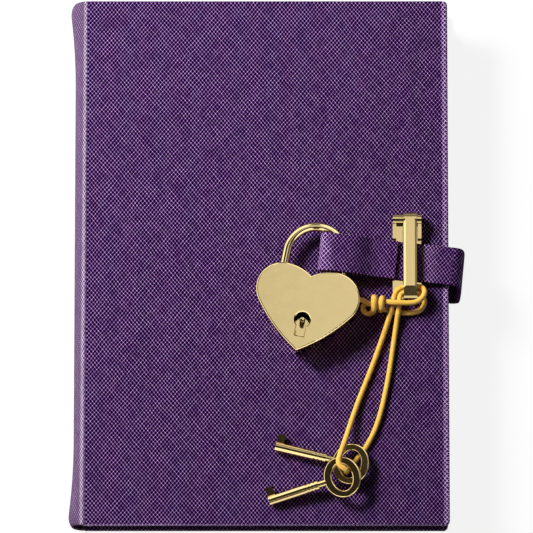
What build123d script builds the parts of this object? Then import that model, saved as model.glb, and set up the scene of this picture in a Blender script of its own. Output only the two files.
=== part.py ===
from build123d import *

import math
import os

# A locking diary lying on its back cover: +X to the fore-edge, +Y to the head, +Z up.
# The origin is the middle of the back cover's outer face. Sizes are in millimetres.

# Case: two leather-covered boards and a rounded leather spine
cover_width = 122.6
cover_height = 178.0
board_thickness = 2.0
leather_thickness = 0.8
cover_edge_round = 0.5
turn_in_width = 4.0
pastedown_thickness = 0.2
pastedown_clearance = 0.1
hinge_clearance = 0.2
spine_bulge = 3.3
spine_strip_thickness = 0.8
spine_strip_inset = 0.1

# Text block: sewn sections on tapes under a cloth lining
section_count = 8
section_thickness = 1.8
section_gap = 0.05
section_fold_round = 0.8
page_square = 3.0
block_back_clearance = 0.1
spine_setback = 1.2
tape_thickness = 0.25
tape_width = 9.0
tape_spacing = 52.0
tape_count = 3
lining_thickness = 0.3
lining_end_inset = 8.0
lining_edge_inset = 0.3
headband_radius = 0.8
headband_clearance = 0.05

# Strap: one leather band from the back cover round the fore-edge to the padlock's shackle
strap_width = 12.8
strap_thickness = 1.4
strap_tilt = 5.6
strap_edge_y = -1.95
strap_standoff = 4.3
strap_tail_length = 22.0
strap_recess_clearance = 0.15
strap_lower_bend = 2.5
strap_upper_bend = 3.2
strap_cover_gap = 0.4
strap_seat_gap = 0.15
strap_loop_end = 43.0
strap_loop_mouth = 31.6
strap_flap_end = 17.6
strap_layer_gap = 0.1
strap_split_gap = 0.05

# Hasp: base plate with ears, hinged bridge bar, pin and rivets
hasp_edge_inset = 14.0
hasp_width = 9.6
hasp_top_y = 15.2
hasp_bottom_y = -13.2
hasp_plate_thickness = 1.2
hasp_corner_round = 0.8
ear_thickness = 1.2
ear_length = 8.2
ear_height = 4.8
bar_edge_inset = 13.0
bar_width = 4.4
bar_thickness = 2.2
bar_clear_height = 3.7
bar_foot_length = 1.0
bar_slope_run = 3.2
bar_slope_drop = 1.7
bar_lip_length = 0.8
bar_foot_clearance = 0.1
bar_edge_bevel = 0.65
bar_edge_drop = 0.32
hasp_pin_radius = 0.8
hasp_pin_y = 13.6
hasp_pin_clearance = 0.05
bar_eye_radius = 2.3
knuckle_radius = 1.7
knuckle_clearance = 0.1
rivet_radius = 1.1
rivet_clearance = 0.03
rivet_upper_y = 8.4
rivet_lower_y = -5.0

# Padlock: heart-shaped case, back plate, hinged shackle, bolt, spring and key post
heart_edge_inset = 46.1
heart_y = -6.5
heart_tilt = -11.7
heart_half_width = 17.5
heart_lobe_radius = 8.8
heart_lobe_rise = 2.8
heart_depth = 25.7
heart_lobe_sweep = 126.0
heart_cleft_run = 1.25
heart_tip_run = 1.2
lock_gap = 0.3
lock_thickness = 9.6
lock_wall = 1.2
lock_edge_round = 0.6
back_plate_thickness = 1.0
back_plate_clearance = 0.05
shackle_radius = 1.5
shackle_half_span = 9.8
shackle_arch_v = 7.6
shackle_level = 5.0
shackle_pivot_v = 0.3
shackle_eye_radius = 2.2
shackle_heel_depth = 4.0
shackle_slot_radius = 4.6
shackle_slot_clearance = 0.3
shackle_side_clearance = 0.7
pivot_pin_radius = 1.0
pivot_pin_clearance = 0.05
keyhole_v = -15.0
keyhole_radius = 2.6
keyhole_slot_width = 3.1
keyhole_slot_end = -20.6
keyhole_bevel = 0.3
key_post_radius = 0.9
key_post_recess = 1.0
bolt_width = 1.5
bolt_height = 2.0
bolt_v = -2.7
bolt_stop_u = 1.9
bolt_back_gap = 0.7
bolt_shackle_gap = 0.2
bolt_guide_clearance = 0.05
bolt_guide_wall = 0.6
bolt_rail_rise = 1.5
bolt_stop_length = 1.2
bolt_notch_depth = 0.8
bolt_notch_clearance = 0.15
spring_leaf_thickness = 0.25
spring_leaf_bow = 0.3
spring_seat_gap = 0.075

# Keys: barrel keys with an oval bow, threaded on one cord.
# A key's place is its bow's middle: in from the fore-edge, y and height above the front cover.
key_bow_half_length = 6.15
key_bow_half_width = 6.85
key_hole_half_length = 3.4
key_hole_half_width = 4.6
key_bow_thickness = 1.6
key_bow_round = 0.4
key_length = 25.7
key_barrel_radius = 1.65
key_neck_radius = 1.1
key_neck_end = 8.4
key_groove_pitch = 1.3
key_groove_width = 0.5
key_groove_depth = 0.25
key_groove_count = 3
key_bore_radius = 1.0
key_bore_depth = 9.0
key_bit_length = 2.5
key_bit_reach = 3.0
key_bit_thickness = 1.2
key_tip_gap = 0.1
front_key_place = (35.9, -73.5, 5.4)
front_key_heading = 197.4
rear_key_place = (33.1, -68.9, 3.3)
rear_key_heading = 166.3

# Cord: one waxed cord looped under the hasp bar, knotted, with the keys in its bight.
# Each point is in from the fore-edge, y and the height of the cord's middle above the front cover.
cord_radius = 0.9
cord_tight_bend = 1.8
cord_knot_place = (23.3, -15.3, 2.7)
cord_knot_radius = 2.4
cord_tuck_place = (26.4, -16.4, 1.9)
cord_tuck_radius = 1.7
cord_tail_end = (28.0, -13.7, 1.3)
cord_upper_strand = [
    (21.9, -14.3, 4.1),
    (19.8, -14.7, 5.0),
    (15.5, -15.0, 5.1),
    (11.5, -14.9, 5.0),
    (8.3, -13.6, 4.8),
    (6.8, -11.2, 4.2),
    (8.0, -9.4, 2.9),
    (10.7, -9.05, 2.3),
    (14.9, -9.0, 2.3),
    (17.5, -10.2, 2.6),
    (18.6, -13.2, 2.9),
    (19.3, -17.0, 2.95),
    (20.8, -22.0, 1.5),
    (25.7, -36.0, 0.95),
    (31.4, -50.0, 1.15),
    (34.7, -60.5, 3.8),
    (36.8, -66.2, 7.0),
    (37.3, -69.2, 8.0),
    (34.5, -71.5, 8.0),
]
cord_lower_strand = [
    (34.5, -71.5, 0.95),
    (31.0, -66.9, 0.95),
    (27.4, -62.6, 0.95),
    (23.4, -54.0, 0.95),
    (20.3, -40.0, 0.97),
    (18.4, -27.0, 0.95),
    (17.5, -20.9, 1.7),
    (16.9, -17.0, 2.95),
    (16.6, -13.8, 2.9),
    (16.45, -11.6, 2.4),
    (14.7, -10.95, 2.3),
    (10.7, -10.95, 2.3),
    (8.3, -11.8, 2.2),
    (6.8, -13.8, 1.6),
    (7.8, -16.4, 1.05),
    (10.9, -17.7, 0.95),
    (15.1, -18.0, 0.95),
    (19.0, -17.6, 0.95),
    (21.9, -16.6, 1.6),
]

# Levels and edges that follow from the sizes above
half_width = cover_width / 2
half_height = cover_height / 2
hinge_x = -half_width
hasp_x = half_width - hasp_edge_inset
bar_x = half_width - bar_edge_inset
heart_x = half_width - heart_edge_inset
back_board_z = leather_thickness
back_inner_z = back_board_z + board_thickness + pastedown_thickness
block_z = back_inner_z + pastedown_clearance
section_pitch = section_thickness + section_gap
block_top_z = block_z + section_count * section_pitch - section_gap
front_inner_z = block_top_z + pastedown_clearance
front_board_z = front_inner_z + pastedown_thickness
front_leather_z = front_board_z + board_thickness
cover_top_z = front_leather_z + leather_thickness
block_spine_x = hinge_x + spine_setback
block_edge_x = half_width - page_square
block_half_height = half_height - page_square
lock_top = lock_gap + lock_thickness
lock_inner_top = lock_top - lock_wall
lock_inner_floor = lock_gap + back_plate_thickness

os.makedirs("parts", exist_ok=True)


def slab(low, high, mode=Mode.ADD):
    """Add or cut the block between two corners in the piece being built."""
    middle = tuple((a + b) / 2 for a, b in zip(low, high))
    size = [b - a for a, b in zip(low, high)]
    with Locations(middle):
        Box(*size, mode=mode)


def post(x, y, low, high, radius, mode=Mode.ADD):
    """Add or cut an upright cylinder between two levels in the piece being built."""
    with Locations((x, y, (low + high) / 2)):
        Cylinder(radius, high - low, mode=mode)


def write(piece, name):
    """Label a finished piece and write it as one STEP file."""
    piece.label = name
    export_step(piece, f"parts/{name}.step")


# Strap's own planes: s runs left from the fore-edge, h up from the front cover
strap_heading = Vector(-math.cos(math.radians(strap_tilt)), math.sin(math.radians(strap_tilt)), 0)
strap_plane = Plane(
    origin=(half_width, strap_edge_y, cover_top_z),
    x_dir=strap_heading,
    z_dir=strap_heading.cross(Vector(0, 0, 1)),
)
strap_tail_h = strap_thickness / 2 - cover_top_z


# Case boards, leathers and pastedowns
def cover_solids(inner_z, board_z, outer_z, leather_z, low_z):
    """Return a board and its leather skin with turn-ins, for the front or the back cover."""
    with BuildPart() as board:
        slab(
            (hinge_x + hinge_clearance, leather_thickness - half_height, board_z),
            (half_width - leather_thickness, half_height - leather_thickness, board_z + board_thickness),
        )
    with BuildPart() as leather:
        slab(
            (hinge_x + hinge_clearance, -half_height, low_z),
            (half_width, half_height, low_z + leather_thickness + board_thickness + pastedown_thickness),
        )
        outer_face = leather.faces().sort_by(Axis.Z)[-1 if leather_z > board_z else 0]
        fillet(outer_face.edges().filter_by(Axis.X) + outer_face.edges().sort_by(Axis.X)[-1:], cover_edge_round)
        add(board.part, mode=Mode.SUBTRACT)
        slab(
            (hinge_x, turn_in_width - half_height, min(inner_z, outer_z)),
            (half_width - turn_in_width, half_height - turn_in_width, max(inner_z, outer_z)),
            Mode.SUBTRACT,
        )
    return board, leather


def pastedown(low_z, name):
    """Write the endpaper glued inside a cover, between its turn-ins."""
    with BuildPart() as paper:
        slab(
            (hinge_x + spine_setback, turn_in_width - half_height, low_z),
            (half_width - turn_in_width, half_height - turn_in_width, low_z + pastedown_thickness),
        )
    write(paper.part, name)


front_board, front_leather = cover_solids(
    front_inner_z, front_board_z, front_board_z, front_leather_z, front_inner_z
)
back_board, back_leather = cover_solids(
    back_inner_z, back_board_z, back_inner_z - pastedown_thickness, 0, 0
)
pastedown(front_inner_z, "front_pastedown")
pastedown(back_inner_z - pastedown_thickness, "back_pastedown")

# Recess in the back cover where the strap's tail is let in flush
tail_cut = Plane(strap_plane.origin - Vector(0, 0, cover_top_z), strap_plane.x_dir, Vector(0, 0, 1))
with BuildPart() as strap_recess:
    with BuildSketch(tail_cut) as recess_outline:
        with Locations(((strap_tail_length - strap_standoff) / 2, 0)):
            Rectangle(
                strap_tail_length + strap_standoff + 2 * strap_recess_clearance,
                strap_width + 2 * strap_recess_clearance,
            )
    extrude(amount=strap_thickness + strap_recess_clearance)

for cover_piece, name in ((back_board, "back_board"), (back_leather, "back_leather")):
    with BuildPart() as recessed:
        add(cover_piece.part)
        add(strap_recess.part, mode=Mode.SUBTRACT)
    write(recessed.part, name)

# Spine: a bowed leather skin and the stiff strip glued inside it
with BuildPart() as spine_leather:
    with BuildSketch(Plane.XZ) as spine_section:
        with BuildLine():
            skin_x = hinge_x - leather_thickness / 4
            skin_edge = leather_thickness * 0.75
            ThreePointArc(
                (skin_x, skin_edge),
                (hinge_x - spine_bulge + leather_thickness / 2, cover_top_z / 2),
                (skin_x, cover_top_z - skin_edge),
            )
        trace(line_width=leather_thickness)
    extrude(amount=half_height, both=True)
write(spine_leather.part, "spine_leather")

spine_strip_x = hinge_x - spine_bulge + leather_thickness + spine_strip_inset
spine_strip_half = (front_inner_z - back_inner_z) / 2 - board_thickness - 2 * leather_thickness
with BuildPart() as spine_strip:
    with BuildSketch(Plane.XZ) as strip_section:
        with BuildLine():
            strip_drop = 0.16 * spine_strip_half
            strip_middle = spine_strip_x + spine_strip_thickness / 2
            ThreePointArc(
                (strip_middle + strip_drop, cover_top_z / 2 - spine_strip_half),
                (strip_middle, cover_top_z / 2),
                (strip_middle + strip_drop, cover_top_z / 2 + spine_strip_half),
            )
        trace(line_width=spine_strip_thickness)
    extrude(amount=block_half_height, both=True)
write(spine_strip.part, "spine_strip")

# Text block sections, folded at the spine
for index in range(section_count):
    low_z = block_z + (section_count - 1 - index) * section_pitch
    with BuildPart() as section:
        slab(
            (block_spine_x, -block_half_height, low_z),
            (block_edge_x, block_half_height, low_z + section_thickness),
        )
        fillet(section.edges().filter_by(Axis.Y).group_by(Axis.X)[0], section_fold_round)
    write(section.part, f"page_section_{index + 1}")

# Sewing tapes, cloth lining and headbands on the block's spine
with BuildPart() as sewing_tapes:
    with GridLocations(0, tape_spacing, 1, tape_count):
        with Locations((block_spine_x - tape_thickness / 2, 0, (block_z + block_top_z) / 2)):
            Box(tape_thickness, tape_width, block_top_z - block_z - 2 * lining_edge_inset)
write(sewing_tapes.part, "sewing_tapes")

with BuildPart() as spine_lining:
    slab(
        (block_spine_x - tape_thickness - lining_thickness, lining_end_inset - block_half_height,
         block_z + lining_edge_inset),
        (block_spine_x - tape_thickness, block_half_height - lining_end_inset, block_top_z - lining_edge_inset),
    )
write(spine_lining.part, "spine_lining")

headband_y = block_half_height + headband_radius + headband_clearance
for side, name in ((1, "head_band"), (-1, "tail_band")):
    with BuildPart() as headband:
        post(
            block_spine_x + headband_radius, side * headband_y,
            block_z + lining_edge_inset, block_top_z - lining_edge_inset, headband_radius,
        )
    write(headband.part, name)


# Strap pieces: tail in the back cover, side run, and front run with its loop
def band(points, radii, name):
    """Write a strap piece: a band of the strap's section along a run with rounded bends."""
    with BuildPart() as strap_piece:
        with BuildSketch(strap_plane) as band_section:
            with BuildLine():
                if radii:
                    FilletPolyline(*points, radius=radii)
                else:
                    Polyline(*points)
            trace(line_width=strap_thickness)
        extrude(amount=strap_width / 2, both=True)
    write(strap_piece.part, name)


strap_front_h = strap_cover_gap + strap_thickness / 2
strap_seat_h = hasp_plate_thickness + strap_seat_gap + strap_thickness / 2
loop_low_h = shackle_level - shackle_radius - shackle_slot_clearance - strap_thickness / 2
loop_high_h = 2 * shackle_level - loop_low_h
loop_bend = (loop_high_h - loop_low_h) / 2
flap_h = strap_seat_h + strap_thickness + strap_layer_gap
lower_bend_s = strap_lower_bend - strap_standoff
upper_bend_s = strap_upper_bend - strap_standoff
hasp_left_s = half_width - hasp_x + hasp_width / 2
flap_rest_s = strap_loop_mouth - 1.2 * (loop_high_h - flap_h)

band([(strap_tail_length, strap_tail_h), (lower_bend_s + strap_split_gap, strap_tail_h)], [], "strap_tail")
band(
    [(lower_bend_s, strap_tail_h), (-strap_standoff, strap_tail_h), (-strap_standoff, strap_front_h),
     (upper_bend_s, strap_front_h)],
    [strap_lower_bend - strap_split_gap, strap_upper_bend - strap_split_gap],
    "strap_side",
)
band(
    [(upper_bend_s + strap_split_gap, strap_front_h), (hasp_left_s - 1.6 * hasp_width, strap_front_h),
     (hasp_left_s - hasp_width, strap_seat_h), (strap_loop_mouth - 3 * strap_thickness, strap_seat_h),
     (strap_loop_mouth, loop_low_h), (strap_loop_end, loop_low_h), (strap_loop_end, loop_high_h),
     (strap_loop_mouth, loop_high_h), (flap_rest_s, flap_h), (strap_flap_end, flap_h)],
    [4.0, 4.0, 2.0, 2.0, loop_bend - strap_split_gap, loop_bend - strap_split_gap, 2.0, 2.0],
    "strap_front",
)

# Hasp base: plate on the front cover with two ears and two knuckles for the bar's pin
plate_top_z = cover_top_z + hasp_plate_thickness
hasp_left_x = hasp_x - hasp_width / 2
hasp_right_x = hasp_x + hasp_width / 2
bar_low_z = cover_top_z + bar_clear_height
bar_top_z = bar_low_z + bar_thickness
hasp_pin_z = bar_top_z - bar_eye_radius
ear_low_y = hasp_top_y - ear_length
pin_plane = Plane(origin=(0, hasp_pin_y, hasp_pin_z), x_dir=(0, 1, 0), z_dir=(1, 0, 0))
knuckle_spans = (
    (hasp_left_x, bar_x - bar_width / 2 - knuckle_clearance),
    (bar_x + bar_width / 2 + knuckle_clearance, hasp_right_x),
)

with BuildPart() as hasp_base:
    slab((hasp_left_x, hasp_bottom_y, cover_top_z), (hasp_right_x, hasp_top_y, plate_top_z))
    fillet(hasp_base.edges().filter_by(Axis.Z), hasp_corner_round)
    for low_x in (hasp_left_x, hasp_right_x - ear_thickness):
        slab(
            (low_x, ear_low_y, cover_top_z + hasp_plate_thickness / 2),
            (low_x + ear_thickness, hasp_pin_y, cover_top_z + ear_height - knuckle_radius / 2),
        )
    for low_x, high_x in knuckle_spans:
        slab((low_x, hasp_pin_y - knuckle_radius, plate_top_z), (high_x, hasp_pin_y + knuckle_radius, hasp_pin_z))
        with BuildSketch(pin_plane.offset(low_x)) as knuckle_outline:
            Circle(knuckle_radius)
        extrude(amount=high_x - low_x)
    with BuildSketch(pin_plane.offset(hasp_left_x)) as pin_hole_outline:
        Circle(hasp_pin_radius + hasp_pin_clearance)
    extrude(amount=hasp_width, mode=Mode.SUBTRACT)
    for y in (rivet_upper_y, rivet_lower_y):
        post(hasp_x, y, cover_top_z, plate_top_z, rivet_radius + rivet_clearance, Mode.SUBTRACT)
write(hasp_base.part, "hasp_base")

bar_lip_y = hasp_bottom_y + bar_lip_length
bar_lip_z = bar_top_z - bar_slope_drop
with BuildPart() as hasp_bar:
    foot_z = plate_top_z + bar_foot_clearance
    with BuildSketch(Plane(origin=(bar_x - bar_width / 2, 0, 0), x_dir=(0, 1, 0), z_dir=(1, 0, 0))) as bar_side:
        with BuildLine() as bar_profile:
            Polyline(
                (hasp_pin_y, bar_top_z), (bar_lip_y + bar_slope_run, bar_top_z), (bar_lip_y, bar_lip_z),
                (hasp_bottom_y, bar_lip_z), (hasp_bottom_y, foot_z), (hasp_bottom_y + bar_foot_length, foot_z),
                (hasp_bottom_y + bar_foot_length, bar_low_z), (hasp_pin_y, bar_low_z), close=True,
            )
        make_face()
    extrude(amount=bar_width)
    bar_top = hasp_bar.faces().sort_by(Axis.Z)[-1]
    chamfer(bar_top.edges().filter_by(Axis.Y), bar_edge_bevel, bar_edge_drop, reference=bar_top)
    with BuildSketch(pin_plane.offset(bar_x - bar_width / 2)) as eye_outline:
        Circle(bar_eye_radius)
    extrude(amount=bar_width)
    with BuildSketch(pin_plane.offset(bar_x - bar_width / 2)) as eye_hole_outline:
        Circle(hasp_pin_radius + hasp_pin_clearance)
    extrude(amount=bar_width, mode=Mode.SUBTRACT)
write(hasp_bar.part, "hasp_bar")

with BuildPart() as hasp_pin:
    with BuildSketch(pin_plane.offset(hasp_left_x)) as pin_outline:
        Circle(hasp_pin_radius)
    extrude(amount=hasp_width)
write(hasp_pin.part, "hasp_pin")

with BuildPart() as hasp_rivets:
    for y in (rivet_upper_y, rivet_lower_y):
        post(hasp_x, y, front_board_z, plate_top_z, rivet_radius)
write(hasp_rivets.part, "hasp_rivets")

for cover_piece, name in ((front_board, "front_board"), (front_leather, "front_leather")):
    with BuildPart() as riveted:
        add(cover_piece.part)
        for y in (rivet_upper_y, rivet_lower_y):
            post(hasp_x, y, front_board_z, cover_top_z, rivet_radius + rivet_clearance, Mode.SUBTRACT)
    write(riveted.part, name)


# Padlock planes: u to the lock's right, v towards its shackle, at a height above the cover
def lock_plane(height):
    """Return the padlock's own plane at a height above the front cover."""
    turn = math.radians(heart_tilt)
    return Plane(
        origin=(heart_x, heart_y, cover_top_z + height),
        x_dir=(math.cos(turn), math.sin(turn), 0),
        z_dir=(0, 0, 1),
    )


def heart_face(inset=0.0):
    """Draw the heart in the sketch being built: two round lobes, hollow shoulders and bowed sides."""
    lobe_u = heart_half_width - heart_lobe_radius
    lobe_v = heart_lobe_rise - heart_lobe_radius
    with BuildLine() as outline:
        lobe = CenterArc((lobe_u, lobe_v), heart_lobe_radius - inset, 90, -heart_lobe_sweep)
        TangentArc(lobe @ 0, (0, -heart_cleft_run * inset), tangent=(-1, 0))
        TangentArc(lobe @ 1, (0, heart_tip_run * inset - heart_depth), tangent=lobe % 1)
        mirror(about=Plane.YZ)
    make_face(outline.edges())


slot_low = shackle_level - shackle_radius - shackle_slot_clearance
slot_height = 2 * (shackle_radius + shackle_slot_clearance)
heel_v = -shackle_heel_depth

with BuildPart() as padlock_case:
    with BuildSketch(lock_plane(lock_gap)) as case_outline:
        heart_face()
    extrude(amount=lock_thickness)
    fillet(padlock_case.faces().sort_by(Axis.Z)[-1].edges(), lock_edge_round)
    with BuildSketch(lock_plane(lock_gap)) as cavity_outline:
        heart_face(lock_wall)
    extrude(amount=lock_thickness - lock_wall, mode=Mode.SUBTRACT)
    with BuildSketch(lock_plane(lock_inner_top)) as keyhole_outline:
        with Locations((0, keyhole_v)):
            Circle(keyhole_radius)
        with Locations((0, (keyhole_v + keyhole_slot_end) / 2)):
            Rectangle(keyhole_slot_width, keyhole_v - keyhole_slot_end)
    extrude(amount=lock_wall, mode=Mode.SUBTRACT)
    lock_face = padlock_case.faces().sort_by(Axis.Z)[-1]
    chamfer(lock_face.inner_wires()[0].edges(), keyhole_bevel)
    with BuildSketch(lock_plane(slot_low)) as shackle_slots:
        with Locations((-shackle_half_span, shackle_pivot_v)):
            Circle(shackle_slot_radius)
        with Locations((shackle_half_span, (shackle_arch_v + heel_v - shackle_side_clearance) / 2)):
            Rectangle(
                2 * (shackle_radius + shackle_side_clearance), shackle_arch_v - heel_v + shackle_side_clearance
            )
    extrude(amount=slot_height, mode=Mode.SUBTRACT)
write(padlock_case.part, "padlock_case")

# Back plate with the bolt's guide and stop
guide_top = shackle_level - bolt_height / 2 - bolt_guide_clearance
guide_half = bolt_width / 2 + bolt_guide_clearance + bolt_guide_wall
guide_end_u = shackle_half_span - shackle_radius - shackle_side_clearance - bolt_guide_wall
with BuildPart() as padlock_back:
    with BuildSketch(lock_plane(lock_gap)) as back_outline:
        heart_face(lock_wall + back_plate_clearance)
    extrude(amount=back_plate_thickness)
    with BuildSketch(lock_plane(lock_inner_floor)) as guide_outline:
        with Locations(((guide_end_u + bolt_stop_u - bolt_stop_length) / 2, bolt_v)):
            Rectangle(guide_end_u - bolt_stop_u + bolt_stop_length, 2 * guide_half)
    extrude(amount=guide_top + bolt_rail_rise - lock_inner_floor)
    with BuildSketch(lock_plane(guide_top)) as channel_outline:
        with Locations(((guide_end_u + bolt_stop_u) / 2, bolt_v)):
            Rectangle(guide_end_u - bolt_stop_u, bolt_width + 2 * bolt_guide_clearance)
    extrude(amount=bolt_rail_rise, mode=Mode.SUBTRACT)
write(padlock_back.part, "padlock_back_plate")

with BuildPart() as lock_bolt:
    bolt_back_u = bolt_stop_u + bolt_back_gap
    bolt_tip_u = shackle_half_span - shackle_radius - bolt_shackle_gap
    with BuildSketch(lock_plane(shackle_level - bolt_height / 2)) as bolt_outline:
        with Locations(((bolt_back_u + bolt_tip_u) / 2, bolt_v)):
            Rectangle(bolt_tip_u - bolt_back_u, bolt_width)
    extrude(amount=bolt_height)
write(lock_bolt.part, "lock_bolt")

with BuildPart() as bolt_spring:
    leaf_u = bolt_stop_u + spring_seat_gap + spring_leaf_thickness / 2
    leaf_half = bolt_width / 2 - spring_seat_gap
    with BuildSketch(lock_plane(guide_top + bolt_guide_clearance)) as leaf_section:
        with BuildLine():
            ThreePointArc(
                (leaf_u, bolt_v - leaf_half), (leaf_u + spring_leaf_bow, bolt_v), (leaf_u, bolt_v + leaf_half)
            )
        trace(line_width=spring_leaf_thickness)
    extrude(amount=bolt_rail_rise)
write(bolt_spring.part, "bolt_spring")

with BuildPart() as key_post:
    with BuildSketch(lock_plane(lock_inner_floor)) as post_outline:
        with Locations((0, keyhole_v)):
            Circle(key_post_radius)
    extrude(amount=lock_top - key_post_recess - lock_inner_floor)
write(key_post.part, "key_post")

with BuildPart() as pivot_pin:
    with BuildSketch(lock_plane(lock_inner_floor)) as pivot_outline:
        with Locations((-shackle_half_span, shackle_pivot_v)):
            Circle(pivot_pin_radius)
    extrude(amount=lock_inner_top - lock_inner_floor)
write(pivot_pin.part, "shackle_pin")

with BuildPart() as shackle:
    with BuildLine(lock_plane(shackle_level)) as shackle_line:
        left_leg = Line((-shackle_half_span, shackle_pivot_v), (-shackle_half_span, shackle_arch_v))
        CenterArc((0, shackle_arch_v), shackle_half_span, 180, -180)
        Line((shackle_half_span, shackle_arch_v), (shackle_half_span, heel_v))
    with BuildSketch(Plane(origin=left_leg @ 0, z_dir=left_leg % 0)) as rod_section:
        Circle(shackle_radius)
    sweep()
    with BuildSketch(lock_plane(shackle_level - shackle_radius)) as shackle_eye:
        with Locations((-shackle_half_span, shackle_pivot_v)):
            Circle(shackle_eye_radius)
    extrude(amount=2 * shackle_radius)
    with BuildSketch(lock_plane(shackle_level - shackle_radius)) as shackle_eye_hole:
        with Locations((-shackle_half_span, shackle_pivot_v)):
            Circle(pivot_pin_radius + pivot_pin_clearance)
    extrude(amount=2 * shackle_radius, mode=Mode.SUBTRACT)
    with BuildSketch(lock_plane(shackle_level - shackle_radius)) as bolt_notch:
        with Locations((shackle_half_span - shackle_radius, bolt_v)):
            Rectangle(2 * bolt_notch_depth, bolt_width + 2 * bolt_notch_clearance)
    extrude(amount=2 * shackle_radius, mode=Mode.SUBTRACT)
write(shackle.part, "padlock_shackle")


# Keys
def key_solid(place, heading, name):
    """Write one barrel key: its bow at a place above the cover, its tip just clear of the cover."""
    drop = math.asin((place[2] - key_barrel_radius - key_tip_gap) / key_length)
    turn = math.radians(heading)
    ahead = Vector(math.cos(turn) * math.cos(drop), math.sin(turn) * math.cos(drop), -math.sin(drop))
    side = Vector(-math.sin(turn), math.cos(turn), 0)
    middle = Vector(half_width - place[0], place[1], cover_top_z + place[2])
    flat = Plane(origin=middle, x_dir=ahead, z_dir=ahead.cross(side))
    upright = Plane(origin=middle, x_dir=ahead, z_dir=side)
    bore_start = key_length - key_bore_depth
    with BuildPart() as key:
        with BuildSketch(flat.offset(-key_bow_thickness / 2)) as bow_outline:
            Ellipse(key_bow_half_length, key_bow_half_width)
            Ellipse(key_hole_half_length, key_hole_half_width, mode=Mode.SUBTRACT)
        extrude(amount=key_bow_thickness)
        fillet(key.edges(), key_bow_round)
        with BuildSketch(upright) as barrel_section:
            neck_start = key_bow_half_length - key_bow_round
            with Locations(((neck_start + key_length) / 2, key_neck_radius / 2)):
                Rectangle(key_length - neck_start, key_neck_radius)
            with Locations(((key_neck_end + key_length) / 2, key_barrel_radius / 2)):
                Rectangle(key_length - key_neck_end, key_barrel_radius)
            for groove in range(key_groove_count):
                with Locations((key_neck_end + (groove + 1) * key_groove_pitch, key_barrel_radius)):
                    Rectangle(key_groove_width, 2 * key_groove_depth, mode=Mode.SUBTRACT)
            with Locations(((bore_start + key_length) / 2, key_bore_radius / 2)):
                Rectangle(key_bore_depth, key_bore_radius, mode=Mode.SUBTRACT)
        revolve(axis=Axis(middle, ahead))
        with BuildSketch(flat.offset(-key_bit_thickness / 2)) as bit_outline:
            bit_root = (key_barrel_radius + key_bore_radius) / 2
            with Locations((key_length - key_bit_length / 2, -bit_root - key_bit_reach / 2)):
                Rectangle(key_bit_length, key_bit_reach)
        extrude(amount=key_bit_thickness)
    write(key.part, name)


key_solid(front_key_place, front_key_heading, "front_key")
key_solid(rear_key_place, rear_key_heading, "rear_key")


# Cord and knot
def above_cover(point):
    """Return a cord point, given with its height above the front cover, in the diary's frame."""
    return Vector(half_width - point[0], point[1], point[2] + cover_top_z)


def bend_radii(points, tight_corners):
    """Return the largest fitting radius at each corner of the cord, less at the tight ones."""
    radii = []
    for index in range(1, len(points) - 1):
        before = points[index] - points[index - 1]
        after = points[index + 1] - points[index]
        turn = math.radians(before.get_angle(after))
        radius = 0.45 * min(before.length, after.length) / math.tan(turn / 2)
        radii.append(min(radius, cord_tight_bend) if index in tight_corners else radius)
    return radii


cord_points = [above_cover(point) for point in cord_upper_strand + cord_lower_strand]
key_bight = len(cord_upper_strand)
cord_radii = bend_radii(cord_points, (key_bight - 1, key_bight))
print("cord bend radii", [round(radius, 1) for radius in cord_radii])

with BuildPart() as key_cord:
    with BuildLine() as cord_line:
        cord_path = FilletPolyline(*cord_points, radius=cord_radii)
    with BuildSketch(Plane(origin=cord_path @ 0, z_dir=cord_path % 0)) as cord_section:
        Circle(cord_radius)
    sweep()
write(key_cord.part, "key_cord")
print("cord length", round(cord_path.length, 1), "volume over section times length",
      round(key_cord.part.volume / (math.pi * cord_radius**2 * cord_path.length), 4))

with BuildPart() as cord_knot:
    with Locations(above_cover(cord_knot_place)):
        Sphere(cord_knot_radius)
    with Locations(above_cover(cord_tuck_place)):
        Sphere(cord_tuck_radius)
    with BuildLine() as tail_line:
        tail = Line(above_cover(cord_tuck_place), above_cover(cord_tail_end))
    with BuildSketch(Plane(origin=tail @ 0, z_dir=tail % 0)) as tail_section:
        Circle(cord_radius)
    sweep()
write(cord_knot.part, "cord_knot")
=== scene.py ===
import math
import bmesh
import bpy
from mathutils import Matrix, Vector


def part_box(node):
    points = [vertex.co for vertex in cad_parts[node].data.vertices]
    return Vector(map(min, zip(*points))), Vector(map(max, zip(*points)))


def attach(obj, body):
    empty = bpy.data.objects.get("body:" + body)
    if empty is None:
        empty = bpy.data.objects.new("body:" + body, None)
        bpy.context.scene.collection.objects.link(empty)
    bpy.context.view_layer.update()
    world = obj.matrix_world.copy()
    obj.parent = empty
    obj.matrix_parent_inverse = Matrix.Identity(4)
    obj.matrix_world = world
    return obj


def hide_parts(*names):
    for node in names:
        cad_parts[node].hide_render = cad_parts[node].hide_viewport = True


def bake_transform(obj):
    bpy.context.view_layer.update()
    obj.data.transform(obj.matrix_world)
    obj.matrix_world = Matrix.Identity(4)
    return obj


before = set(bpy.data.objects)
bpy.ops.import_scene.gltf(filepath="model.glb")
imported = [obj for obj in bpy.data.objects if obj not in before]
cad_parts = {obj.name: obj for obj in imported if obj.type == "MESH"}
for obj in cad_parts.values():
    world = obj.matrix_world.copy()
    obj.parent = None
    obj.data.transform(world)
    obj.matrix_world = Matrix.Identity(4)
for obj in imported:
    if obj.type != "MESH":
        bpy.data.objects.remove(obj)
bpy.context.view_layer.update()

# The studio: a pale floor under the diary, a soft lamp off its head end to the left, a low one
# further left, and a dim room whose bright softboxes only polished metal mirrors.
MM = 0.001
scene = bpy.context.scene
scene.view_settings.view_transform = "Standard"


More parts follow.
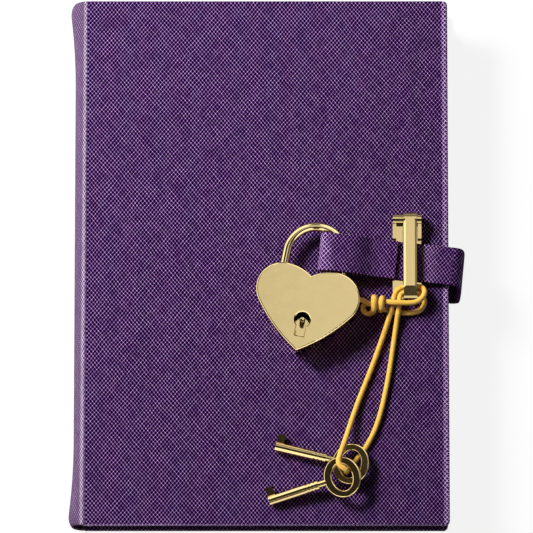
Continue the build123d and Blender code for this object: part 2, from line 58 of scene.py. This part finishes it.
class Shade:
    """One socket of a material's nodes, with the operators that shader maths needs."""

    def __init__(self, tree, socket):
        self.tree, self.socket = tree, socket

    def node(self, kind, settings=None, **inputs):
        """Add a node, set it up, and feed its sockets with values or with other sockets."""
        made = self.tree.nodes.new(kind)
        for name, value in (settings or {}).items():
            setattr(made, name, value)
        for name, value in inputs.items():
            numbered = name[0] == "i" and name[1:].isdigit()
            socket = made.inputs[int(name[1:]) if numbered else name.replace("_", " ")]
            if isinstance(value, Shade):
                self.tree.links.new(value.socket, socket)
            else:
                socket.default_value = value
        return made

    def out(self, kind, output=0, settings=None, **inputs):
        """Add a node and return one of its outputs."""
        return Shade(self.tree, self.node(kind, settings, **inputs).outputs[output])

    def math(self, operation, *values):
        """Add a Math node and return its result."""
        sockets = {f"i{n}": v for n, v in enumerate(values)}
        return self.out("ShaderNodeMath", 0, {"operation": operation}, **sockets)

    def __add__(self, other):
        return self.math("ADD", self, other)

    def __radd__(self, other):
        return self.math("ADD", other, self)

    def __sub__(self, other):
        return self.math("SUBTRACT", self, other)

    def __rsub__(self, other):
        return self.math("SUBTRACT", other, self)

    def __mul__(self, other):
        return self.math("MULTIPLY", self, other)

    def __rmul__(self, other):
        return self.math("MULTIPLY", other, self)

    def __truediv__(self, other):
        return self.math("DIVIDE", self, other)

    def most(self, other):
        """Return the larger of this socket and another value."""
        return self.math("MAXIMUM", self, other)

    def smooth(self, low, high):
        """Return 0 below low, 1 above high and a soft step between them."""
        return self.out("ShaderNodeMapRange", 0, {"interpolation_type": "SMOOTHSTEP"},
                        Value=self, From_Min=low, From_Max=high)

    def mix(self, first, second):
        """Return one colour where this socket is 0 and the other where it is 1."""
        first, second = ((*c, 1.0) if isinstance(c, tuple) else c for c in (first, second))
        return self.out("ShaderNodeMix", 2, {"data_type": "RGBA"}, i0=self, i6=first, i7=second)

    def axes(self, names):
        """Return the named axes of this vector."""
        parts = self.node("ShaderNodeSeparateXYZ", Vector=self).outputs
        return [Shade(self.tree, parts[axis]) for axis in names]

    def noise(self, scale, detail):
        """Return cloudy noise on this vector."""
        return self.out("ShaderNodeTexNoise", 0, None, Vector=self, Scale=scale, Detail=detail)


def material(name):
    """Return a new material, its shader node and a starting socket in Object coordinates."""
    made = bpy.data.materials.new(name)
    made.use_nodes = True
    tree = made.node_tree
    shader = tree.nodes["Principled BSDF"]
    place = Shade(tree, tree.nodes.new("ShaderNodeTexCoord").outputs["Object"])
    return made, shader, place


def feed(shader, **inputs):
    """Set or link the sockets of a shader node."""
    for name, value in inputs.items():
        socket = shader.inputs[name.replace("_", " ")]
        if isinstance(value, Shade):
            value.tree.links.new(value.socket, socket)
        else:
            socket.default_value = (*value, 1.0) if isinstance(value, tuple) else value


FLOOR_HALF = 3.0
FLOOR_DROP = 0.2 * MM
FLOOR_GLOW = 0.88
floor_mesh = bmesh.new()
bmesh.ops.create_grid(floor_mesh, x_segments=1, y_segments=1, size=FLOOR_HALF)
floor_data = bpy.data.meshes.new("floor")
floor_mesh.to_mesh(floor_data)
floor_mesh.free()
floor = bpy.data.objects.new("floor", floor_data)
floor.location.z = -FLOOR_DROP
scene.collection.objects.link(floor)
floor_finish, floor_shader, floor_place = material("pale_floor")
feed(floor_shader, Base_Color=(0.93, 0.93, 0.93), Roughness=0.9)
floor_lit = floor_place.node("ShaderNodeEmission", Color=(1.0, 1.0, 1.0, 1.0), Strength=1.0)
floor_seen = floor_place.out("ShaderNodeLightPath", "Is Camera Ray")
floor_mixed = floor_place.node("ShaderNodeMixShader", Fac=floor_seen * FLOOR_GLOW)
floor_tree = floor_finish.node_tree
floor_tree.links.new(floor_shader.outputs[0], floor_mixed.inputs[1])
floor_tree.links.new(floor_lit.outputs[0], floor_mixed.inputs[2])
floor_tree.links.new(floor_mixed.outputs[0], floor_tree.nodes["Material Output"].inputs["Surface"])
floor_data.materials.append(floor_finish)

LAMP_SIZE = 0.3


def lamp(name, place, power):
    """Add a square soft lamp that faces the diary and that no metal mirrors."""
    data = bpy.data.lights.new(name, "AREA")
    data.size, data.energy = LAMP_SIZE, power
    made = bpy.data.objects.new(name, data)
    made.location = place
    made.rotation_euler = (-Vector(place)).to_track_quat("-Z", "Y").to_euler()
    made.visible_glossy = False
    scene.collection.objects.link(made)


lamp("head_lamp", place=(-0.66, 0.54, 0.78), power=21.3)
lamp("left_lamp", place=(-0.9, 0.1, 0.5), power=3.0)


def between(value, low, high, soft):
    """Return 1 between two limits, falling softly to 0 outside them."""
    return value.smooth(low - soft, low + soft) * (1.0 - value.smooth(high - soft, high + soft))


# Each softbox is a range of the direction's x, y or z: its two limits and how softly it ends.
OVERHEAD_X, OVERHEAD_Y = (-0.02, 0.45, 0.008), (0.03, 0.6, 0.05)
HEAD_BAR_Y = (0.4, 0.62, 0.03)
MIDDLE_X = (-0.1, 0.1, 0.04)
HEAD_STRIP_Y, TAIL_STRIP_Y = (0.5, 0.97, 0.05), (-0.98, -0.42, 0.05)
LEFT_WALL_X = (-0.75, -0.55)
TAIL_WALL_Y, TAIL_WALL_Z = (-0.7, -0.5), (0.0, 0.35, 0.1)
DIM_BAND_Z, DIM_BAND_LIGHT = (0.12, 0.6, 0.1), 0.35
ROOM_DARK, ROOM_BRIGHT = (0.035, 0.03, 0.025), (0.98, 0.98, 0.97)
ROOM_FILL, MIRROR_GAIN, STRIP_GAIN = 0.09, 0.91, 0.7
world = bpy.data.worlds.new("room")
scene.world = world
world.use_nodes = True
room_tree = world.node_tree
room = Shade(room_tree, room_tree.nodes.new("ShaderNodeTexCoord").outputs["Generated"])
room_x, room_y, room_z = room.axes("XYZ")
overhead = between(room_y, *OVERHEAD_Y) * between(room_x, *OVERHEAD_X)
overhead = overhead.most(between(room_y, *HEAD_BAR_Y))
aside = 1.0 - between(room_x, *MIDDLE_X)
strips = between(room_y, *HEAD_STRIP_Y).most(between(room_y, *TAIL_STRIP_Y)) * aside
strips = strips.most(1.0 - room_x.smooth(*LEFT_WALL_X))
strips = strips.most(between(room_z, *TAIL_WALL_Z) * (1.0 - room_y.smooth(*TAIL_WALL_Y)))
softboxes = overhead.most(strips).most(DIM_BAND_LIGHT * between(room_z, *DIM_BAND_Z))
room_colour = softboxes.mix(ROOM_DARK, ROOM_BRIGHT)
mirrored = room.out("ShaderNodeLightPath", "Is Glossy Ray")
room_strength = ROOM_FILL + mirrored * (MIRROR_GAIN + STRIP_GAIN * strips)
feed(room_tree.nodes["Background"], Color=room_colour, Strength=room_strength)

# The camera: overhead, leaning a little towards the tail, and far enough back that the sides of
# the diary stay straight.
cover_low, cover_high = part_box("front_leather")
COVER_TOP = cover_high.z
CAMERA_AWAY = 1.70
CAMERA_ELEVATION = math.radians(81.3)
CAMERA_AIM = Vector((0.2 * MM, -1.9 * MM, COVER_TOP))
CAMERA_CLIP = 20.0
SENSOR_WIDTH = 36.0
PHOTO_SIZE = 533
MM_PER_PIXEL = 0.3355
camera_data = bpy.data.cameras.new("camera")
camera_data.sensor_width = SENSOR_WIDTH
camera_data.lens = CAMERA_AWAY / MM / MM_PER_PIXEL / PHOTO_SIZE * SENSOR_WIDTH
camera_data.clip_end = CAMERA_CLIP
camera = bpy.data.objects.new("camera", camera_data)
camera_back = Vector((0, -math.cos(CAMERA_ELEVATION), math.sin(CAMERA_ELEVATION)))
camera.location = CAMERA_AIM + camera_back * CAMERA_AWAY
camera.rotation_euler = (-camera_back).to_track_quat("-Z", "Y").to_euler()
scene.collection.objects.link(camera)
scene.camera = camera

# The covers: binder's boards wrapped in purple leather with a fine crossed grain pressed into it.
# The leather is turned in round three edges and the endpaper is pasted over the turn-ins.
GRAIN_PITCH = 0.98 * MM
GRAIN_SLOPE = math.radians(50)
GRAIN_DEPTH = 0.1 * MM
WANDER, WANDER_SCALE = 0.8, 150.0
STREAK_ACROSS, STREAK_DOWN, STREAK_APART = 1.3, 0.15, 7.0
STREAK_STEP = (0.36, 0.62)
RIDGE_FOOT, RIDGE_LEAST = 0.76, 0.56
RIDGE_TONE, RIDGE_PALE, CROSSING_PALE = 0.35, 0.1, 1.9
HIGHLIGHT_CELL, HIGHLIGHT_RIDGE, HIGHLIGHT_PALE = 0.08, 0.5, 0.6
RIDGE_SHEEN = 0.2


def rgb(red, green, blue):
    """Return a colour written in screen values from 0 to 255 as linear light."""
    return tuple(((c / 255 + 0.055) / 1.055) ** 2.4 if c > 10 else c / 255 / 12.92
                 for c in (red, green, blue))


def grained_leather(name, dark, line, light, painted_highlight, along=None, contrast=1.0, turned_down=0.7):
    """Return leather with two crossing sets of fine pale ridges over darker diamond cells.

    The grain follows a UV map, or x and y with the height added, so that it goes on over edges.
    """
    made, shader, place = material(name)
    # The painted_highlight mask paints highlights: it lightens the cells and whitens the ridges
    # where light catches the leather.
    highlight_mask = painted_highlight(*place.axes("XY"))
    if along:
        place = place.out("ShaderNodeUVMap", 0, {"uv_map": along})
    x, y, z = place.axes("XYZ")
    x, y = x + z, y + turned_down * z
    wander = place.out("ShaderNodeTexNoise", 1, None, Vector=place, Scale=WANDER_SCALE, Detail=2.0)
    ridges = []
    for lean, channel in ((1, "Red"), (-1, "Green")):
        across = (x * math.sin(GRAIN_SLOPE) + y * (lean * math.cos(GRAIN_SLOPE))) / GRAIN_PITCH
        across = across + WANDER * place.out("ShaderNodeSeparateColor", channel, Color=wander)
        down = (x * math.cos(GRAIN_SLOPE) - y * (lean * math.sin(GRAIN_SLOPE))) / GRAIN_PITCH
        stretched = across.out("ShaderNodeCombineXYZ", 0, None, X=across * STREAK_ACROSS,
                               Y=down * STREAK_DOWN, Z=lean * STREAK_APART)
        streak = stretched.noise(scale=1.0, detail=1.0).smooth(*STREAK_STEP)
        wave = across.math("COSINE", across * (2 * math.pi))
        ridges.append(wave.smooth(RIDGE_FOOT, 1.0) * (RIDGE_LEAST + (1 - RIDGE_LEAST) * streak))
    first, second = ridges
    ridge = first.most(second)
    tone = ridge * (RIDGE_TONE * contrast) + highlight_mask * (HIGHLIGHT_CELL + HIGHLIGHT_RIDGE * ridge)
    pale = (first * second * CROSSING_PALE + ridge * ridge * RIDGE_PALE) * contrast
    pale = pale + highlight_mask * ridge * HIGHLIGHT_PALE
    bump = place.out("ShaderNodeBump", 0, None, Strength=0.5, Distance=GRAIN_DEPTH,
                     Height=first + second)
    feed(shader, Base_Color=pale.mix(tone.mix(dark, line), light), Roughness=0.5, Normal=bump,
         Specular_IOR_Level=0.0, Coat_Weight=RIDGE_SHEEN * ridge, Coat_Roughness=0.3)
    return made


# A painted highlight along the fore-edge and the tail edge of the covers, where light catches their
# rounded edges.
FORE_EDGE_HIGHLIGHT, FORE_EDGE_FADE = 1.9 * MM, 0.4 * MM
TAIL_EDGE_HIGHLIGHT, TAIL_EDGE_FADE = 0.3 * MM, 0.15 * MM
case_leather = grained_leather(
    "case_leather", rgb(20, 0, 40), rgb(200, 104, 240), rgb(252, 240, 255),
    painted_highlight=lambda x, y:
        between(x, cover_high.x - FORE_EDGE_HIGHLIGHT, cover_high.x + MM, FORE_EDGE_FADE).most(
            between(y, cover_low.y - MM, cover_low.y + TAIL_EDGE_HIGHLIGHT, TAIL_EDGE_FADE)))


def new_piece(name, mesh, finish, body, node):
    """Make an object from a bmesh, dress it, seat it on its body and stand it in for a CAD node."""
    data = bpy.data.meshes.new(name)
    mesh.to_mesh(data)
    mesh.free()
    piece = bpy.data.objects.new(name, data)
    scene.collection.objects.link(piece)
    data.materials.append(finish)
    for face in data.polygons:
        face.use_smooth = True
    if body:
        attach(piece, body)
    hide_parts(node)
    return piece


def dress(finish, *nodes):
    """Give carried-over CAD nodes a finish."""
    for node in nodes:
        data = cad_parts[node].data
        data.materials.clear()
        data.materials.append(finish)


def two_tone(name, nodes, pattern, first, second, roughness):
    """Dress CAD nodes in a matt finish whose pattern runs between two colours."""
    made, shader, place = material(name)
    feed(shader, Base_Color=pattern(place).mix(first, second), Roughness=roughness)
    dress(made, *nodes)


two_tone("binders_board", ["front_board", "back_board", "spine_strip"],
         lambda place: place.noise(scale=900.0, detail=3.0),
         rgb(120, 106, 86), rgb(150, 134, 110), roughness=0.9)

CORNER_ROUND = 1.5 * MM
OUTER_ROUND = 0.75 * MM
INNER_ROUND = 0.35 * MM
TURN_IN = 3.6 * MM
ENDPAPER_SINK = 0.19 * MM
LEVEL = 1e-6


def rounded(mesh, edges, radius, segments):
    """Round off edges of a mesh."""
    bmesh.ops.bevel(mesh, geom=edges, offset=radius, segments=segments, profile=0.5, affect="EDGES",
                    material=-1)


def leather_cover(name, node, body, outer_up):
    """Make a cover's leather: a slab with rounded outer edges and a sunk field for the endpaper."""
    low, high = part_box(node)
    middle, size = (low + high) / 2, high - low
    outer, inner = (high.z, low.z) if outer_up else (low.z, high.z)
    mesh = bmesh.new()
    bmesh.ops.create_cube(mesh, size=1.0)
    bmesh.ops.scale(mesh, verts=mesh.verts, vec=size)
    bmesh.ops.translate(mesh, verts=mesh.verts, vec=middle)
    corners = [e for e in mesh.edges if all(v.co.x > middle.x for v in e.verts)
               and abs(e.verts[0].co.z - e.verts[1].co.z) > size.z / 2]
    rounded(mesh, corners, CORNER_ROUND, segments=5)
    outer_rim = [e for e in mesh.edges if all(abs(v.co.z - outer) < LEVEL for v in e.verts)]
    rounded(mesh, outer_rim, OUTER_ROUND, segments=5)
    inner_rim = [e for e in mesh.edges if all(abs(v.co.z - inner) < LEVEL for v in e.verts)
                 and len({round(f.normal.z, 3) for f in e.link_faces}) == 2]
    rounded(mesh, inner_rim, INNER_ROUND, segments=3)
    inside = [f for f in mesh.faces if abs(f.calc_center_median().z - inner) < LEVEL]
    field = max(inside, key=lambda f: f.calc_area())
    bmesh.ops.inset_region(mesh, faces=[field], thickness=TURN_IN, use_even_offset=True)
    sink = ENDPAPER_SINK if outer_up else -ENDPAPER_SINK
    bmesh.ops.translate(mesh, verts=field.verts, vec=(0, 0, sink))
    bmesh.ops.recalc_face_normals(mesh, faces=mesh.faces)
    new_piece(name, mesh, case_leather, body, node)


leather_cover("front_cover_leather", "front_leather", "front_cover", outer_up=True)
leather_cover("back_cover_leather", "back_leather", "book", outer_up=False)

# The spine: the same leather carried round from cover to cover, painted paler for the light that
# falls on it and with a painted highlight along the joint, bowed outwards and flared at its head
# and tail, where it is turned in.
SPINE_PROFILE = [(-60.1, 20.98), (-60.6, 21.05), (-61.2, 20.9), (-62.0, 20.3), (-63.1, 19.2),
                 (-63.9, 17.6), (-64.4, 15.0), (-64.6, 10.5), (-64.4, 6.0), (-63.9, 3.4),
                 (-63.1, 1.8), (-62.0, 0.6), (-61.0, 0.1)]
SPINE_STEPS = 90
SPINE_WALL = 0.7 * MM
SPINE_BEND, SPINE_REACH = 61.4 * MM, 2.5 * MM
FLARE_OUT, FLARE_STRETCH = 2.1 * MM, (60.0 * MM, 29.0 * MM)
ROUND_IN, ROUND_STRETCH = 1.6 * MM, (85.0 * MM, 4.0 * MM)
JOINT_LEAN = 0.004
JOINT_HIGHLIGHT = (-61.75 * MM, -60.75 * MM, 0.35 * MM)
# The spine's paler tones paint the light falling on its side; the band along the joint is a painted
# highlight.
lit_spine_finish = grained_leather(
    "spine_leather", rgb(79, 55, 88), rgb(190, 162, 200), rgb(248, 236, 250),
    painted_highlight=lambda x, y: between(x - y * JOINT_LEAN, *JOINT_HIGHLIGHT), contrast=0.5, turned_down=0.0)


def extend(mesh, edges, step):
    """Extrude a row of edges by one step and return the new row and its vertices."""
    grown = bmesh.ops.extrude_edge_only(mesh, edges=edges)["geom"]
    moved = [g for g in grown if isinstance(g, bmesh.types.BMVert)]
    bmesh.ops.translate(mesh, verts=moved, vec=step)
    return [g for g in grown if isinstance(g, bmesh.types.BMEdge)], moved


def share(value, start, length):
    """Return how far a value is into a stretch, from 0 at its start to 1 at its end."""
    return min(1.0, max(0.0, (value - start) / length))


spine_mesh = bmesh.new()
profile = [spine_mesh.verts.new((x * MM, cover_low.y, z * MM)) for x, z in SPINE_PROFILE]
skin = [spine_mesh.edges.new(pair) for pair in zip(profile, profile[1:])]
for _ in range(SPINE_STEPS):
    skin = extend(spine_mesh, skin, (0, (cover_high.y - cover_low.y) / SPINE_STEPS, 0))[0]
for v in spine_mesh.verts:
    reach = share(-v.co.x, SPINE_BEND, SPINE_REACH)
    flare = FLARE_OUT * share(abs(v.co.y), *FLARE_STRETCH) ** 2
    round_off = ROUND_IN * (1 - math.sqrt(1 - share(abs(v.co.y), *ROUND_STRETCH) ** 2))
    v.co.x += (round_off - flare) * reach
bmesh.ops.recalc_face_normals(spine_mesh, faces=spine_mesh.faces)
spine = new_piece("spine_leather_skin", spine_mesh, lit_spine_finish, None,
                  "spine_leather")
spine_wall = spine.modifiers.new("wall", "SOLIDIFY")
spine_wall.thickness, spine_wall.offset = SPINE_WALL, -1.0
spine_curve = spine.modifiers.new("curve", "SUBSURF")
spine_curve.levels = spine_curve.render_levels = 1
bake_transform(spine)

# The text block: folded sections of cream paper, trimmed at head, tail and fore-edge, sewn on
# linen tapes with a cloth lining and lilac bands at the ends of the spine. Its first and last
# leaves are pasted to the boards.
LEAVES_PER_METRE = 9000.0
SECTIONS = 8


def leaf_edges(place):
    """Return the fine uneven lines of trimmed leaves."""
    height, = place.axes("Z")
    leaves = place.out("ShaderNodeTexNoise", 0, {"noise_dimensions": "1D"},
                       W=height * LEAVES_PER_METRE, Detail=0.0)
    return leaves.smooth(0.3, 0.7)


def woven(scale):
    """Return a pattern of threads that run across the height."""
    return lambda place: place.out("ShaderNodeTexWave", 1, {"bands_direction": "Z"},
                                   Vector=place, Scale=scale)


two_tone("trimmed_paper", [f"page_section_{n}" for n in range(1, SECTIONS + 1)], leaf_edges,
         rgb(205, 190, 158), rgb(244, 236, 216), roughness=0.85)
two_tone("endpaper", ["front_pastedown", "back_pastedown"],
         lambda place: place.noise(scale=700.0, detail=4.0),
         rgb(224, 212, 186), rgb(238, 229, 208), roughness=0.85)
two_tone("linen_cloth", ["sewing_tapes", "spine_lining"], woven(scale=600.0),
         rgb(190, 182, 160), rgb(224, 217, 200), roughness=0.9)
two_tone("woven_band", ["head_band", "tail_band"], woven(scale=420.0),
         rgb(120, 84, 150), rgb(216, 200, 226), roughness=0.7)

# The strap: one leather band, let into the back cover, bent round the fore-edge, seated under the
# hasp bar, folded round the padlock's shackle and laid back on itself. A point of a run is in from
# the fore-edge and above the front cover, in millimetres.
STRAP_TILT = math.radians(5.6)
STRAP_EDGE = Vector((cover_high.x, -1.95 * MM, COVER_TOP))
STRAP_AHEAD = Vector((-math.cos(STRAP_TILT), math.sin(STRAP_TILT), 0))
STRAP_ACROSS = Vector((math.sin(STRAP_TILT), math.cos(STRAP_TILT), 0))
STRAP_WIDTH = 12.8 * MM
STRAP_THICK = 1.4 * MM
TAIL_THICK, SIDE_THICK = STRAP_THICK * 0.97, STRAP_THICK * 0.985
SIDE_GRAIN_FROM, FRONT_GRAIN_FROM = 30.0 * MM, 60.0 * MM
STRAP_SOFT = 0.2 * MM
STRAP_WAYS = 12
STRAP_BACK = 0.63 - COVER_TOP / MM
STRAP_DROP = Vector((0, -3.0 * MM, 0))
STRAP_TAIL = [(22.0, STRAP_BACK), (14.0, STRAP_BACK), (6.0, STRAP_BACK), (0.0, STRAP_BACK),
              (-1.9, STRAP_BACK)]
STRAP_SIDE = [(-1.0, STRAP_BACK), (-1.9, STRAP_BACK), (-3.1, STRAP_BACK + 0.3),
              (-4.0, STRAP_BACK + 1.2), (-4.3, STRAP_BACK + 2.6), (-4.4, -14.0), (-4.45, -9.0),
              (-4.4, -5.0), (-4.2, -2.2), (-3.5, -0.2), (-2.5, 0.75), (-1.1, 1.1), (0.2, 1.17)]
STRAP_FRONT = [(-1.1, 1.1), (1.5, 1.25), (4.5, 1.55), (7.5, 1.9), (10.5, 2.05), (15.0, 2.05),
               (20.0, 2.05), (25.5, 2.1), (28.4, 2.25), (31.4, 2.45), (35.0, 2.5), (38.8, 2.5),
               (40.8, 2.5), (42.3, 3.1), (43.0, 5.0), (42.3, 6.9), (40.8, 7.5), (38.8, 7.5),
               (35.0, 7.4), (32.0, 7.0), (29.4, 5.9), (27.0, 4.5), (25.0, 3.8), (22.0, 3.55),
               (17.6, 3.55)]
# Painted highlights on the strap: a pale band where light catches the loop's rounded nose, and
# glints on the slope between the hasp bar and the fore-edge.
NOSE_HIGHLIGHT, NOSE_HIGHLIGHT_FROM, NOSE_HIGHLIGHT_TO, NOSE_FADE = 0.5, 45.0 * MM, 40.0 * MM, 2.5 * MM
BEND_HIGHLIGHT, BEND_HIGHLIGHT_FROM, BEND_HIGHLIGHT_TO, BEND_FADE = 0.4, 9.5 * MM, 4.5 * MM, 1.5 * MM
strap_leather = grained_leather(
    "strap_leather", rgb(26, 0, 46), rgb(206, 108, 244), rgb(252, 240, 255), along="grain",
    painted_highlight=lambda x, y:
        NOSE_HIGHLIGHT * between(x, cover_high.x - NOSE_HIGHLIGHT_FROM, cover_high.x - NOSE_HIGHLIGHT_TO, NOSE_FADE)
        + BEND_HIGHLIGHT * between(x, cover_high.x - BEND_HIGHLIGHT_FROM, cover_high.x - BEND_HIGHLIGHT_TO,
                             BEND_FADE))


def strap_run(name, node, run, grain_from, thick, body=None):
    """Make a stretch of the strap: a row across it, drawn along its run and given its thickness."""
    mesh = bmesh.new()
    spots = [STRAP_EDGE + STRAP_AHEAD * (inset * MM) + Vector((0, 0, height * MM))
             + STRAP_DROP * share(height, 0.0, STRAP_BACK) for inset, height in run]
    offsets = [STRAP_WIDTH * (n / STRAP_WAYS - 0.5) for n in range(STRAP_WAYS + 1)]
    row = [mesh.verts.new(spots[0] + STRAP_ACROSS * offset) for offset in offsets]
    edges = [mesh.edges.new(pair) for pair in zip(row, row[1:])]
    gone = grain_from
    grain_at = {v: (gone, offset) for v, offset in zip(row, offsets)}
    for before, after in zip(spots, spots[1:]):
        edges, moved = extend(mesh, edges, after - before)
        gone += (after - before).length
        grain_at.update({v: (gone, (v.co - after).dot(STRAP_ACROSS)) for v in moved})
    grain = mesh.loops.layers.uv.new("grain")
    for face in mesh.faces:
        for loop in face.loops:
            loop[grain].uv = grain_at[loop.vert]
    bmesh.ops.recalc_face_normals(mesh, faces=mesh.faces)
    piece = new_piece(name, mesh, strap_leather, body, node)
    wall = piece.modifiers.new("wall", "SOLIDIFY")
    wall.thickness, wall.offset = thick, 0.0
    soft = piece.modifiers.new("soft", "BEVEL")
    soft.width, soft.segments, soft.limit_method = STRAP_SOFT, 2, "ANGLE"
    curve = piece.modifiers.new("curve", "SUBSURF")
    curve.levels = curve.render_levels = 2
    return piece


strap_run("strap_tail_leather", "strap_tail", STRAP_TAIL, 0.0, TAIL_THICK, "book")
strap_side = strap_run("strap_side_leather", "strap_side", STRAP_SIDE, SIDE_GRAIN_FROM, SIDE_THICK)
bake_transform(strap_side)
strap_front = strap_run("strap_front_leather", "strap_front", STRAP_FRONT, FRONT_GRAIN_FROM,
                        STRAP_THICK)
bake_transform(strap_front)

# The hasp, padlock and keys: pressed and cast pieces with a polished pale-gold plating. The hasp is
# riveted to the front cover, the padlock hangs by its shackle in the strap's loop, and the keys are
# strung on the cord. Only the bolt's spring is bare steel.
WIPE_DARK = 0.94
WIPE_ROUGH = 0.08


def plated(name, colour, roughness):
    """Return polished plating with faint wipe marks."""
    made, shader, place = material(name)
    wipe = place.noise(scale=260.0, detail=3.0)
    feed(shader, Base_Color=wipe.mix(tuple(WIPE_DARK * c for c in colour), colour), Metallic=1.0,
         Roughness=roughness - WIPE_ROUGH / 2 + WIPE_ROUGH * wipe)
    return made


pale_gold = plated("pale_gold", rgb(226, 203, 146), roughness=0.09)
bright_gold = plated("bright_gold", rgb(228, 202, 142), roughness=0.1)
dress(bright_gold, "hasp_base", "hasp_bar", "hasp_pin", "hasp_rivets", "front_key", "rear_key")
dress(pale_gold, "padlock_case", "padlock_back_plate", "padlock_shackle", "shackle_pin",
      "lock_bolt")
dress(plated("spring_steel", rgb(150, 150, 148), roughness=0.35), "bolt_spring")

# The key post: a turned pin of the same plating that stands in the keyhole, riveted to the
# padlock's back plate, with its top edge turned off to lead the hollow key on.
POST_TURNED_OFF = 0.38 * MM
POST_SIDES = 32
POST_SHARP = math.radians(30)
post_low, post_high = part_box("key_post")
post_middle, post_size = (post_low + post_high) / 2, post_high - post_low
post_mesh = bmesh.new()
bmesh.ops.create_cone(post_mesh, cap_ends=True, segments=POST_SIDES, radius1=post_size.x / 2,
                      radius2=post_size.x / 2, depth=post_size.z)
bmesh.ops.translate(post_mesh, verts=post_mesh.verts, vec=post_middle)
post_rim = [e for e in post_mesh.edges if all(v.co.z > post_middle.z for v in e.verts)]
rounded(post_mesh, post_rim, POST_TURNED_OFF, segments=2)
post = new_piece("turned_key_post", post_mesh, pale_gold, "padlock", "key_post")
post.data.set_sharp_from_angle(angle=POST_SHARP)

# The cord: one waxed golden cord through both key bows, doubled under the hasp bar and knotted,
# with its two ends tucked towards the padlock. A point of its route is in from the fore-edge, along
# the cover and above it, in millimetres.
CORD_WIDE = 1.8 * MM
CORD_ROUTE = [
    (22.2, -14.3, 4.0), (19.8, -14.7, 5.0), (15.5, -15.0, 5.1), (11.5, -14.9, 5.0),
    (9.2, -13.6, 4.8), (8.0, -11.2, 4.2), (8.8, -9.4, 2.9), (10.7, -9.05, 2.3),
    (14.9, -9.0, 2.3), (17.5, -10.2, 2.6), (18.6, -13.2, 2.9), (19.3, -17.0, 2.95),
    (20.8, -22.0, 1.5), (25.7, -36.0, 0.95), (31.4, -50.0, 1.15), (34.7, -60.5, 3.8),
    (36.8, -66.2, 7.0), (37.5, -69.4, 8.0), (34.5, -71.5, 8.0), (34.5, -71.5, 6.7),
    (34.5, -71.5, 2.2), (34.5, -71.5, 0.95), (33.6, -70.3, 0.95), (31.0, -66.9, 0.95),
    (27.4, -62.6, 0.95), (23.4, -54.0, 0.95), (20.3, -40.0, 0.97), (18.4, -27.0, 0.95),
    (17.5, -20.9, 1.7), (16.9, -17.0, 2.95), (16.6, -13.8, 2.9), (16.45, -11.6, 2.4),
    (14.7, -10.95, 2.3), (10.7, -10.95, 2.3), (9.0, -11.8, 2.2), (8.0, -13.8, 1.6),
    (8.8, -16.4, 1.05), (10.9, -17.7, 0.95), (15.1, -18.0, 0.95), (19.0, -17.6, 0.95),
    (22.2, -16.4, 1.6),
]
waxed, waxed_shader, waxed_place = material("waxed_cord")
strand = waxed_place.noise(scale=1400.0, detail=2.0)
strand_bump = waxed_place.out("ShaderNodeBump", 0, None, Strength=0.3, Distance=0.1 * MM,
                              Height=strand)
feed(waxed_shader, Base_Color=strand.mix(rgb(206, 150, 40), rgb(246, 204, 100)), Roughness=0.32,
     Normal=strand_bump)


def above_cover(inset, y, height):
    """Return the place of a route's point."""
    return cover_high.x - inset * MM, y * MM, COVER_TOP + height * MM


def laid_cord(name, node, *routes):
    """Lay round cord on smooth splines; a point's fourth number, if any, swells it there."""
    data = bpy.data.curves.new(name, "CURVE")
    data.dimensions = "3D"
    data.bevel_depth, data.bevel_resolution, data.resolution_u = CORD_WIDE / 2, 4, 8
    data.use_fill_caps = True
    for route in routes:
        spline = data.splines.new("NURBS")
        spline.points.add(len(route) - 1)
        for point, (inset, y, height, *swell) in zip(spline.points, route):
            point.co = (*above_cover(inset, y, height), 1.0)
            point.radius = swell[0] if swell else 1.0
        spline.order_u = 3
        spline.use_endpoint_u = True
    data.materials.append(waxed)
    made = bpy.data.objects.new(name, data)
    scene.collection.objects.link(made)
    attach(made, "front_cover")
    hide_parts(node)
    return made


cord = laid_cord("key_cord_loop", "key_cord", CORD_ROUTE)

# The knot: the cord's upper end wrapped twice round both strands and curled under, and its lower
# end led through the turns and under the padlock.
KNOT_TURNS = [
    (22.2, -14.3, 4.0), (22.2, -13.2, 4.6), (22.6, -13.6, 5.5, 1.2), (22.7, -15.4, 5.5, 1.2),
    (22.7, -17.0, 4.2, 1.2), (23.0, -17.2, 1.8), (23.8, -15.2, 0.95), (24.7, -13.2, 1.3),
    (25.1, -12.7, 3.2, 1.2), (25.1, -13.4, 5.2, 1.25), (25.1, -15.2, 5.6, 1.25),
    (25.1, -17.0, 4.9, 1.2),
    (25.6, -18.0, 3.0), (26.9, -18.3, 1.6), (28.4, -17.4, 1.0), (28.9, -15.9, 0.95),
    (28.2, -14.9, 1.2),
]
KNOT_UNDER = [
    (22.2, -16.4, 1.6), (22.9, -15.6, 2.6), (24.6, -15.4, 3.0), (26.2, -15.2, 3.0),
    (27.4, -14.6, 2.9), (28.6, -13.8, 2.7), (30.2, -13.3, 2.4), (31.8, -13.0, 1.6),
]
knot = laid_cord("cord_knot_turns", "cord_knot", KNOT_TURNS, KNOT_UNDER)
